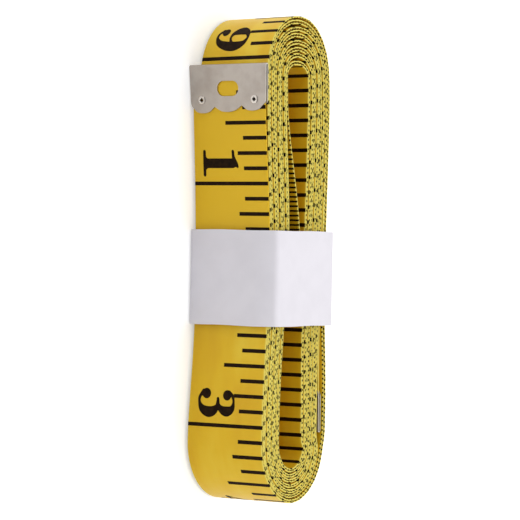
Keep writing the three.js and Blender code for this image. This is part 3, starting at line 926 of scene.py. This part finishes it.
@dataclass
class ScalePrint:
    """The printed scales: marks from the upper edge, numbers below, and dots where ink wraps the edges."""

    tape: Tape
    ink: float = 0.018
    sink: float = 0.02
    inch_mark: Mark = Mark(0.8, 86.0, 3)
    millimetre_mark: Mark = Mark(0.4, 72.0, 2)
    wrap_points: int = 4
    inch_lengths: tuple[float, float, float] = (6.0, 7.5, 10.5)
    centimetre_lengths: tuple[float, float, float] = (4.0, 6.0, 9.0)
    number_low: float = 2.5
    number_gap: float = 1.7
    digit_gap: float = 0.35
    small_size: float = 0.42
    small_low: float = 5.2
    small_gap: float = 0.8
    last_centimetre: int = 300
    first_millimetre: int = 3
    edge_ink: float = 0.3
    blank_end: float = 48.0
    drift: float = 0.3
    drift_mm: float = 137.0

    def marks(self, face: Face, along: np.ndarray, low: Any, mark: Mark, mirrored: bool = False) -> Surface:
        """Marks on one side of the tape as thin closed strips of ink, which wrap the upper edge.

        A strip's section is the cloth's outline, a little outside itself and back a little inside. It is
        carried over a few places along the tape.

        Args:
            face: Side of the tape.
            along: Middle of each mark along the scale.
            low: Lower end of each mark above the tape's lower edge.
            mark: Its width and how far it wraps the edge.
            mirrored: Whether the marks start at the lower edge.

        Returns:
            All marks as one surface.
        """
        tape, count = self.tape, len(along)
        # The print drifts across the tape by a sine, so that its ink wraps the edge more in some stretches.
        drift = 1 - self.drift * (0.5 + 0.5 * np.sin(2 * np.pi * along / self.drift_mm))
        turn = np.radians(mark.wrap) * drift[:, None] * np.linspace(0, 1, self.wrap_points)
        half = tape.half_thickness(along)[:, None]
        foot = np.broadcast_to(np.asarray(low, float), (count,))[:, None]
        out, up = [], []
        for extra, order in ((self.ink, slice(None)), (-self.sink, slice(None, None, -1))):
            shaped = np.concatenate([half + extra, (half + extra) * np.cos(turn)], 1)
            rim = tape.width - tape.edge_round + (tape.edge_round + extra) * np.sin(turn)
            out.append(face.value * shaped[:, order])
            up.append(np.concatenate([foot, rim], 1)[:, order])
        out, up = np.concatenate(out, 1), np.concatenate(up, 1)
        places = along[:, None] + mark.line * np.linspace(-0.5, 0.5, mark.places)
        across = tape.width - up if mirrored else up
        points = tape.place(places[:, :, None], across[:, None, :], out[:, None, :])
        corners = out.shape[1]
        starts = mark.places * corners * np.arange(count)[:, None, None]
        groups = tube_faces(mark.places, corners)
        faces = [(group[None] + starts).reshape(-1, group.shape[1]) for group in groups]
        return Surface(points, faces).outward()

    def number(self, face: Face, text: str, end: float, size: float, low: float) -> Surface:
        """A number as slabs of ink on the tape, its last digit ending at a place along the scale.

        Args:
            face: Side of the tape. The inch side reads along the scale and the other against it.
            text: Digits.
            end: Where the number ends along the scale.
            size: Height as a share of the full digit.
            low: Foot of the digits above the tape's lower edge.

        Returns:
            The digits as one surface.
        """
        forms, gap = [DigitForm(digit, size) for digit in text], self.digit_gap * size
        starts = np.cumsum([0.0] + [f.width + gap for f in forms])
        total = starts[-1] - gap
        parts = []
        for form, start in zip(forms, starts):
            flat, tris = form.flat()
            along = end + face.value * (flat[:, 0] + start - total)
            half = self.tape.half_thickness(along)
            outs = [face.value * (half + depth) for depth in (-self.sink, self.ink)]
            layers = [self.tape.place(along, low + flat[:, 1], out) for out in outs]
            edges = np.concatenate([tris[:, [0, 1]], tris[:, [1, 2]], tris[:, [2, 0]]])
            keys, back = edges @ [len(flat), 1], edges @ [1, len(flat)]
            rim = edges[~np.isin(keys, back)]
            sides = np.column_stack([rim, rim[:, ::-1] + len(flat)])
            faces = [tris[:, ::-1], tris + len(flat), sides]
            parts.append(Surface(np.concatenate(layers), faces).outward())
        return Surface.joined(parts)

    def within(self, values: np.ndarray, spans: Spans) -> np.ndarray:
        """Those of the values that lie in one of the spans, before the tape's blank end."""
        values = values[values < self.tape.length - self.blank_end]
        return values[np.any([(values >= a) & (values < b) for a, b in spans], axis=0)]

    def inches(self, spans: Spans, numbers: tuple[int, ...]) -> Surface:
        """The inch side: marks every eighth, full lines every inch, numbers before their lines.

        Args:
            spans: Stretches of the scale that carry it.
            numbers: Inches that get their number.

        Returns:
            The ink as one surface.
        """
        step = INCH / 8
        along = self.within(step * np.arange(1, int(self.tape.length / step)), spans)
        eighth = np.rint(along / step).astype(int)
        short, quarter, half = self.inch_lengths
        top, whole = self.tape.width, self.tape.width - self.edge_ink
        full = eighth % 8 == 0
        lengths = np.select([full, eighth % 4 == 0, eighth % 2 == 0], [whole, half, quarter], short)
        parts = [
            self.marks(Face.INCHES, along, top - lengths, self.inch_mark),
            self.marks(Face.INCHES, along[full], whole, self.inch_mark, mirrored=True),
        ]
        for n in numbers:
            end = n * INCH - self.number_gap
            parts.append(self.number(Face.INCHES, str(n), end, 1.0, self.number_low))
        return Surface.joined(parts)

    def centimetres(self, spans: Spans, shown: Spans, numbers: tuple[int, ...]) -> Surface:
        """The centimetre side: a mark every millimetre, counted from the other end, and dots on the edges.

        Args:
            spans: Stretches of the scale that carry edge dots.
            shown: Stretches whose face can be seen, which carry marks.
            numbers: Centimetres from the outer tip that get their number.

        Returns:
            The ink as one surface.
        """
        every = np.arange(self.first_millimetre, int(self.tape.length) - 1, dtype=float)
        along = self.within(every, spans)
        seen = np.isin(along, self.within(along, shown))
        mm = np.rint(along).astype(int)
        short, five, ten = self.centimetre_lengths
        lengths = np.select([~seen, mm % 10 == 0, mm % 5 == 0], [self.edge_ink, ten, five], short)
        parts = [self.marks(Face.CENTIMETRES, along, self.tape.width - lengths, self.millimetre_mark)]
        for n in numbers:
            name, end = str(self.last_centimetre - n), 10.0 * n + self.small_gap
            parts.append(self.number(Face.CENTIMETRES, name, end, self.small_size, self.small_low))
        return Surface.joined(parts)


@dataclass
class TapeAssembly:
    """Both pieces of the tape with their print: the wound coil, and the free end that lifts off it."""

    tape: Tape
    cloth: bpy.types.Material
    ink: bpy.types.Material
    bend_length: float = 12.0
    eyelet_hole: float = 0.6
    drill_reach: float = 1.0
    seam_room: float = 0.1
    # Where the coil's centimetre side can be seen: up to here past the seam, and round the eye.
    seam_end: float = 60.0
    eye_span: tuple[float, float] = (1340.0, 1760.0)
    coil_numbers: tuple[int, ...] = (*range(3, 13), *range(54, 69))
    free_numbers: tuple[int, ...] = (1, 2)
    free_centimetres: tuple[int, ...] = (2, 3, 4)

    def build(self) -> list[bpy.types.Object]:
        tape, scale = self.tape, ScalePrint(self.tape)
        tip, seam, end = tape.winding.scale_start, tape.seam, tape.length
        coil = tape.ribbon("tape_coil_cloth", seam, end, self.cloth)
        free = tape.ribbon("tape_free_end_cloth", tip, seam, self.cloth)
        eyelets = np.array([eyelet_place(f"outer_clip_eyelet_{place}")[0] for place in EYELETS])
        drilled(free, list(tape.settling.apply(eyelets)), self.eyelet_hole, self.drill_reach)
        # The line at the seam belongs to the coil.
        line = seam - self.seam_room
        coil_spans, free_spans = [(line, end)], [(tip, line)]
        coil_shown = [(seam, self.seam_end), self.eye_span]
        coil_print = {
            "coil_inch_ink": scale.inches(coil_spans, self.coil_numbers),
            "coil_centimetre_ink": scale.centimetres(coil_spans, coil_shown, ()),
        }
        free_print = {
            "free_end_inch_ink": scale.inches(free_spans, self.free_numbers),
            "free_end_centimetre_ink": scale.centimetres(free_spans, free_spans, self.free_centimetres),
        }
        coil_inks, free_inks = (
            [surface.make(name, self.ink, smooth=False) for name, surface in made.items()]
            for made in (coil_print, free_print)
        )
        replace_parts(coil, "tape_coil")
        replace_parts(free, "tape_free_end")
        for piece in (coil, *coil_inks):
            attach(piece, Body.COIL.value)
        for piece in (free, *free_inks):
            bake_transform(piece)
        LOG.info("tape: %.0f mm along its scale", end)
        return [coil, free, *coil_inks, *free_inks]


def corner_points(mesh: bpy.types.Mesh) -> np.ndarray:
    """Corners of a mesh in millimetres."""
    points = np.zeros(3 * len(mesh.vertices))
    mesh.vertices.foreach_get("co", points)
    return points.reshape(-1, 3) / MM


def eyelet_place(node: str) -> tuple[np.ndarray, np.ndarray, float]:
    """Where an eyelet sits, from its solid.

    Args:
        node: CAD node of the eyelet.

    Returns:
        Its centre, its two cross directions and axis, and half its height.
    """
    points = corner_points(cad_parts[node].data)
    centre = (points.min(0) + points.max(0)) / 2
    axes = np.linalg.svd(points - points.mean(0), full_matrices=False)[2]
    axes = axes[np.argsort(np.abs(axes[:, 1]))]
    return centre, axes, float(np.abs((points - centre) @ axes[2]).max())


def drilled(
    piece: bpy.types.Object, places: list[np.ndarray], radius: float, reach: float, corners: int = 32
) -> None:
    """Cuts round holes along Y through a piece and keeps the result as its mesh.

    Args:
        piece: Piece that is drilled.
        places: Centres of the holes in millimetres.
        radius: Their radius.
        reach: How far the drill goes to each side of a centre.
        corners: Corners of the drill's section.
    """
    turn = np.linspace(0, 2 * np.pi, corners, endpoint=False)
    ring = np.stack([radius * np.cos(turn), np.zeros(corners), radius * np.sin(turn)], -1)
    rod = np.concatenate([ring + [0, y, 0] for y in (-reach, reach)])
    drills = [Surface((centre + rod) * MM, tube_faces(2, corners)).outward() for centre in places]
    drill = Surface.joined(drills).make("eyelet_drill", piece.data.materials[0])
    cut = piece.modifiers.new("eyelet_holes", "BOOLEAN")
    cut.operation, cut.solver, cut.object = "DIFFERENCE", "EXACT", drill
    ready = piece.evaluated_get(bpy.context.evaluated_depsgraph_get())
    mesh = bpy.data.meshes.new_from_object(ready)
    piece.modifiers.clear()
    old, piece.data = piece.data, mesh
    mesh.name = piece.name
    for spare in (drill.data, old):
        bpy.data.meshes.remove(spare)


@dataclass(frozen=True)
class Stamping:
    """How a clip came out of its tool, with sides past the tape, deep notches and a skew mouth.

    It may also have slipped down with the tape's end.
    """

    spread: float = 0.0
    notch: float = 0.0
    skew: float = 0.0
    drop: float = 0.0
    # The sides spread from here on, by a share that falls over a length from the fold.
    spread_from: tuple[float, float] = (8.6, 9.5)
    spread_share: tuple[float, float] = (1.2, 0.5)
    fold_length: float = 8.0
    # Distances from the mouth over which the notches deepen and end, and over which the skew ends.
    notch_start: tuple[float, float] = (0.2, 0.8)
    notch_end: tuple[float, float] = (0.9, 1.9)
    skew_end: tuple[float, float] = (1.0, 3.4)

    def apply(self, spots: np.ndarray) -> np.ndarray:
        """Corners moved by smooth steps of their distance from the fold and from the scalloped mouth.

        Args:
            spots: Corners of the sheet in millimetres, with the fold at the lowest X.

        Returns:
            The moved corners.
        """
        moved = spots.copy()
        fold, mouth = spots[:, 0].min(), spots[:, 0].max() - spots[:, 0]
        aside = spots[:, 2] - spots[:, 2].mean()
        at_fold, past_fold = self.spread_share
        share = at_fold + (past_fold - at_fold) * smooth_step(spots[:, 0], fold, fold + self.fold_length)
        outward = np.sign(aside) * smooth_step(np.abs(aside), *self.spread_from)
        moved[:, 2] += self.spread * outward * share - self.drop
        deep = smooth_step(mouth, *self.notch_start) * (1 - smooth_step(mouth, *self.notch_end))
        moved[:, 0] -= self.notch * deep + self.skew * aside * (1 - smooth_step(mouth, *self.skew_end))
        return moved


@dataclass
class EndClip:
    """Metal clip folded over a tape's end, with its two eyelets."""

    node: str
    body: Body
    settling: Settling
    steel: bpy.types.Material
    bright: bpy.types.Material
    stamping: Stamping = Stamping()
    edge_round: float = 0.05
    edge_angle: float = 40.0
    flat_angle: float = 1.0
    rim_points: int = 48
    dome_points: int = 9
    dome_power: float = 0.7
    bore: float = 0.34
    barrel: float = 0.54
    flange: float = 0.91
    rolled: float = 0.15
    petals: int = 4
    split_power: int = 6
    rim_split: float = 0.05
    throat_split: float = 0.45

    def build(self) -> list[bpy.types.Object]:
        """Builds the folded sheet and both eyelets, and sets them on their body."""
        pieces = [self.sheet()]
        pieces += [self.eyelet(f"{self.node}_eyelet_{place}") for place in EYELETS]
        for piece in pieces:
            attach(piece, self.body.value)
        LOG.info("%s: sheet and two eyelets", self.node)
        return pieces

    def sheet(self) -> bpy.types.Object:
        """The stamped sheet: the solid's own faces, merged, settled with the tape, with rounded edges."""
        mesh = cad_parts[self.node].data.copy()
        mesh.name = self.node + "_sheet"
        form = bmesh.new()
        form.from_mesh(mesh)
        bmesh.ops.remove_doubles(form, verts=form.verts, dist=0.001 * MM)
        flat = math.radians(self.flat_angle)
        bmesh.ops.dissolve_limit(form, angle_limit=flat, verts=form.verts, edges=form.edges)
        form.to_mesh(mesh)
        form.free()
        spots = self.stamping.apply(corner_points(mesh))
        mesh.vertices.foreach_set("co", (self.settling.apply(spots) * MM).ravel())
        if "custom_normal" in mesh.attributes:
            mesh.attributes.remove(mesh.attributes["custom_normal"])
        mesh.materials.clear()
        mesh.materials.append(self.steel)
        mesh.polygons.foreach_set("use_smooth", np.ones(len(mesh.polygons), bool))
        made = linked(mesh.name, mesh)
        bevel = made.modifiers.new("rounded_edges", "BEVEL")
        bevel.width, bevel.segments, bevel.limit_method = self.edge_round * MM, 2, "ANGLE"
        bevel.angle_limit, bevel.harden_normals = math.radians(self.edge_angle), True
        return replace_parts(made, self.node)

    def eyelet(self, node: str) -> bpy.types.Object:
        """Tubular eyelet rolled over on both sides: a closed section turned about the eyelet's axis.

        The section runs up the bore, over a domed flange and back, down the barrel and round the other one.
        A power of a cosine of the angle splits the roll into petals, as a clinching tool does.

        Args:
            node: CAD node that it stands for.

        Returns:
            The object.
        """
        centre, (side, up, axis), depth = eyelet_place(node)
        centre = self.settling.apply(centre[None] - [0, 0, self.stamping.drop])[0]
        inside = depth - self.rolled
        arc = np.linspace(0, np.pi, self.dome_points)
        middle, half = (self.bore + self.flange) / 2, (self.flange - self.bore) / 2
        dome_r = middle - half * np.cos(arc)
        dome_h = inside + self.rolled * np.sin(arc) ** self.dome_power
        radius = np.concatenate([dome_r, [self.barrel, self.barrel], dome_r[::-1]])
        height = np.concatenate([dome_h, [inside, -inside], -dome_h[::-1]])
        turn = np.linspace(0, 2 * np.pi, self.rim_points, endpoint=False)
        split = (0.5 + 0.5 * np.cos(self.petals * turn))[:, None] ** self.split_power
        rim = np.clip((radius - middle) / half, 0, 1)[None, :]
        throat = np.clip((middle - radius) / half, 0, 1)[None, :]
        r = radius[None, :] * (1 - self.rim_split * rim * split + self.throat_split * throat * split)
        ring = side * np.cos(turn)[:, None] + up * np.sin(turn)[:, None]
        where = centre + r[..., None] * ring[:, None, :] + height[None, :, None] * axis
        surface = Surface(where.reshape(-1, 3) * MM, tube_faces(len(turn), len(radius), closed_path=True))
        made = surface.outward().make(node + "_rolled", self.bright)
        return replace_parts(made, node)


@dataclass
class PaperBand:
    """Strip of paper wrapped round the coil, its end glued over its start on the rear."""

    paper: bpy.types.Material
    half_width: float = 11.76
    high: float = 20.75
    sheet: float = 0.2
    lower_round: float = 0.75
    front_round: float = 0.9
    rear_round: float = 0.5
    slant: float = 1.6
    slant_low: float = 18.2
    slant_round: float = 2.4
    crest: float = 0.9
    left: float = -6.3
    right: float = 13.7
    overlap: tuple[float, float] = (5.9, 14.9)
    overlap_gap: float = 0.23
    # How far the strip's start reaches under the flap, and where and how softly the flap steps over it.
    tucked: float = 0.2
    flap_step: tuple[float, float] = (0.9, 0.4)
    clear: float = 0.01
    across: int = 24
    round_points: int = 10
    # Height, length and phase of the waves in the strip's edges and in its middle.
    edge_waves: tuple[tuple[float, float, float], ...] = ((0.05, 31.0, 0.7), (0.03, 13.0, 0.0))
    bow_wave: tuple[float, float, float] = (0.06, 46.0, 1.0)
    edge_power: int = 8
    crease_angle: float = 50.0

    def route(self) -> np.ndarray:
        """Middle line of the paper in Y and Z: up the rear, over the top, down the front, under and up again.

        Each corner is rounded by a parabola between two points a set distance from it.
        """
        half, low = self.half_width, self.sheet / 2 + self.clear
        high, outer = self.high - low, half + self.overlap_gap
        (flap, tip), (step, step_round) = self.overlap, self.flap_step
        corners = np.array([
            (half, flap - self.tucked, 0),
            (half, high, self.rear_round),
            (self.slant - half, high + self.crest, self.front_round),
            (-half, self.slant_low, self.slant_round),
            (-half, low, self.lower_round),
            (half, low, self.lower_round),
            (outer, flap - step, step_round),
            (outer, tip, 0),
        ])
        at, bend = corners[:, :2], corners[:, 2:]
        way = unit(np.diff(at, axis=0))
        before, after = at[1:] - way * bend[1:], at[:-1] + way * bend[:-1]
        s = np.linspace(0, 1, self.round_points)[:, None]
        line = []
        for i, (a, b) in enumerate(zip(after, before)):
            # A point for about each millimetre of a straight.
            line.append(a + (b - a) * np.linspace(0, 1, int(np.linalg.norm(b - a)) + 3)[1:-1, None])
            if i + 1 < len(after):
                line.append((1 - s) ** 2 * b + 2 * s * (1 - s) * at[i + 1] + s * s * after[i + 1])
        return np.concatenate(line)

    def build(self) -> bpy.types.Object:
        """The paper as a thin closed shell: its route given a thickness and carried along the coil."""
        line = self.route()
        tangent = unit(np.gradient(line, axis=0))
        normal = np.stack([-tangent[:, 1], tangent[:, 0]], -1)
        x = np.linspace(self.left, self.right, self.across)
        u = (x - x.mean()) / (x.max() - x.min()) * 2
        distance = distances(line)
        # The strip's edges waver and its middle bows a little, by sums of sines.
        waver, bow = sines(distance, *self.edge_waves), sines(distance, self.bow_wave)
        rings = []
        for side in (-0.5, 0.5):
            out = side * self.sheet + bow[:, None] * (1 - u[None, :] ** 2)
            yz = line[:, None, :] + normal[:, None, :] * out[..., None]
            along = x[None, :] + waver[:, None] * np.abs(u[None, :]) ** self.edge_power
            rings.append(np.concatenate([along[..., None], yz], -1))
        section = np.concatenate([rings[0], rings[1][:, ::-1]], 1)
        surface = Surface(section.reshape(-1, 3) * MM, tube_faces(len(line), 2 * self.across))
        made = surface.outward().make("paper_band_strip", self.paper)
        made.data.set_sharp_from_angle(angle=math.radians(self.crease_angle))
        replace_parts(made, "paper_band")
        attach(made, Body.BAND.value)
        LOG.info("paper band: strip %.0f mm long", distance[-1])
        return made


@dataclass(frozen=True)
class Lamp:
    """Square soft lamp that faces the object: its place and size in metres and its power in watts."""

    name: str
    place: tuple[float, float, float]
    size: float
    power: float
    aim: tuple[float, float, float] = (0.0, 0.0, 0.01)

    def hang(self) -> None:
        """Makes the lamp and turns it to the object."""
        data = bpy.data.lights.new(self.name, "AREA")
        data.shape, data.size, data.energy = "SQUARE", self.size, self.power
        made = linked(self.name, data)
        made.location = self.place
        made.rotation_mode = "QUATERNION"
        made.rotation_quaternion = (Vector(self.aim) - made.location).to_track_quat("-Z", "Y")


@dataclass
class Studio:
    """White sweep, soft light and a camera where the photograph's stood."""

    elevation: float = 35.6
    azimuth: float = -0.27
    roll: float = 1.25
    distance: float = 582.0
    focal_pixels: float = 2736.0
    target: tuple[float, float, float] = (-0.05, -0.32, 10.1)
    sensor_mm: float = 36.0
    clip: tuple[float, float] = (0.01, 20.0)
    world_light: float = 0.58
    lamps: tuple[Lamp, ...] = (
        Lamp("soft_key", (0.1, 0.25, 0.95), 0.9, 5.5),
        Lamp("upper_side", (-0.95, -0.15, 0.3), 0.6, 1.5),
        Lamp("lower_side", (0.95, -0.15, 0.3), 0.6, 0.8),
    )
    # The floor, in metres: half its side, points on a side, its place, and where and how it curves up.
    floor_half: float = 3.0
    floor_points: int = 25
    floor_z: float = -0.0002
    sweep_start: float = 1.0
    sweep_rise: float = 0.4

    def camera(self) -> None:
        """Camera from the view's angles: forward, then right and up turned by a quarter and a small roll."""
        el, az, roll = map(math.radians, (self.elevation, self.azimuth, self.roll))
        forward = Vector((-math.sin(az) * math.cos(el), math.cos(az) * math.cos(el), -math.sin(el)))
        along = Vector((math.cos(az), math.sin(az), 0))
        right, up = along.cross(forward), -along
        turned = math.cos(roll) * right + math.sin(roll) * up
        top = -math.sin(roll) * right + math.cos(roll) * up
        data = bpy.data.cameras.new("photo_camera")
        data.sensor_width = self.sensor_mm
        data.lens = self.focal_pixels / IMAGE_PIXELS * self.sensor_mm
        data.clip_start, data.clip_end = self.clip
        made = linked("photo_camera", data)
        place = Vector(self.target) * MM - forward * self.distance * MM
        turn = Matrix((turned, top, -forward)).transposed().to_4x4()
        made.matrix_world = Matrix.Translation(place) @ turn
        bpy.context.scene.camera = made

    def lights(self) -> None:
        """Even white surroundings with one broad soft lamp above and behind, and one past each end."""
        world = bpy.data.worlds.new("white_studio")
        world.use_nodes = True
        background = world.node_tree.nodes["Background"].inputs
        background["Color"].default_value = (1, 1, 1, 1)
        background["Strength"].default_value = self.world_light
        bpy.context.scene.world = world
        for lamp in self.lamps:
            lamp.hang()

    def floor(self) -> None:
        """Plane under the object that curves up far behind it: height grows by a square law."""
        side = np.linspace(-self.floor_half, self.floor_half, self.floor_points)
        x, y = np.meshgrid(side, side)
        z = self.sweep_rise * np.clip(y - self.sweep_start, 0, None) ** 2 + self.floor_z
        index = np.arange(x.size).reshape(x.shape)
        quads = np.stack([index[:-1, :-1], index[:-1, 1:], index[1:, 1:], index[1:, :-1]], -1).reshape(-1, 4)
        sweep = Surface(np.stack([x, y, z], -1).reshape(-1, 3), [quads])
        sweep.make("studio_floor", StudioFloor().make())

    def build(self) -> None:
        """Sets the camera, lights and floor, and the plain view transform."""
        self.camera()
        self.lights()
        self.floor()
        bpy.context.scene.view_settings.view_transform = "Standard"


def main() -> None:
    """Builds each sub-assembly in order and reports its pieces."""
    logging.basicConfig(level=logging.INFO, format="%(message)s")
    settling = Settling()
    cloth, ink, steel = CoatedCloth().make(), ScaleInk().make(), PlatedSteel().make()
    bright = PlatedSteel(
        "bright_nickel_eyelet", colour="C9C2BA", worn="B2AAA1", cut="C9C2BA", roughness=0.26, patch_mm=0.8
    ).make()
    Studio().build()
    tape = Tape(Winding(), settling)
    outer, inner = Stamping(spread=0.4, notch=0.3, skew=0.03), Stamping(drop=tape.inner_drop)
    pieces = TapeAssembly(tape, cloth, ink).build()
    pieces += EndClip("outer_clip", Body.TAPE_END, settling, steel, bright, outer).build()
    pieces += EndClip("inner_clip", Body.COIL, settling, steel, bright, inner).build()
    pieces.append(PaperBand(BandPaper().make()).build())
    for piece in pieces:
        LOG.info("%s: %d faces", piece.name, len(piece.data.polygons))


if __name__ == "__main__":
    main()
